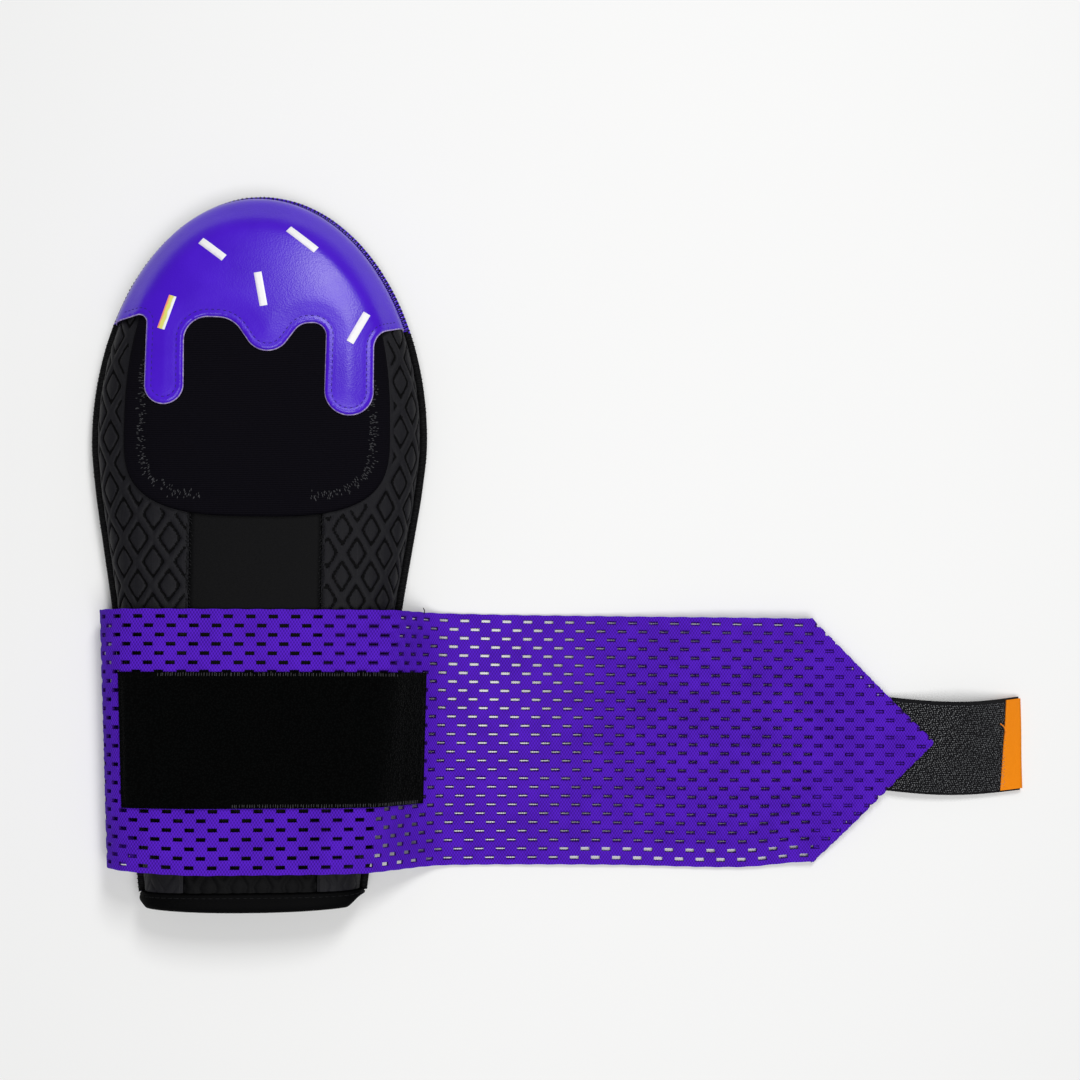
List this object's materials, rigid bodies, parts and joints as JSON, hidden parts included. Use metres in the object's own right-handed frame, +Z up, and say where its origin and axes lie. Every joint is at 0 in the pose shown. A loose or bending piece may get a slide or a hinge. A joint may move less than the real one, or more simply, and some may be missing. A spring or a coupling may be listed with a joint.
{
  "type": "sliding mitt",
  "caption": "Padded sliding mitt for a base runner's hand: a flat open pouch with a drip-edged vinyl finger cap and a wide mesh wrist strap that closes with hook and loop tape.",
  "frame": {"origin": "on the surface that the mitt lies on, under the middle of its widest row", "axes": "+X along the wrist strap towards its pointed end, +Y towards the fingertips, +Z up out of the front"},
  "size_m": [0.3805, 0.2833, 0.0323],
  "materials": {
    "smooth_neoprene": "smooth black knit-faced neoprene, matt",
    "embossed_neoprene": "black neoprene embossed with lozenges, satin",
    "overlock_thread": "black overlock stitching",
    "pad_cloth": "fine black brushed knit, matt",
    "purple_vinyl": "purple vinyl leathercloth, semi-gloss",
    "purple_mesh": "purple warp-knit sports mesh, matt",
    "loop_pile": "black loop pile",
    "hook_tape": "black woven hook tape",
    "orange_label": "plain orange woven label"
  },
  "bodies": {
    "root": {"palm_panel": "smooth_neoprene", "side_panel_left": "embossed_neoprene", "centre_panel": "smooth_neoprene", "side_panel_right": "embossed_neoprene", "edge_seam": "overlock_thread", "cuff_hem": "smooth_neoprene", "hand_pad": "pad_cloth", "finger_cap": "purple_vinyl", "wrist_strap": "purple_mesh", "loop_panel": "loop_pile", "hook_tab": "hook_tape", "end_label": "orange_label"}
  },
  "joints": []
}
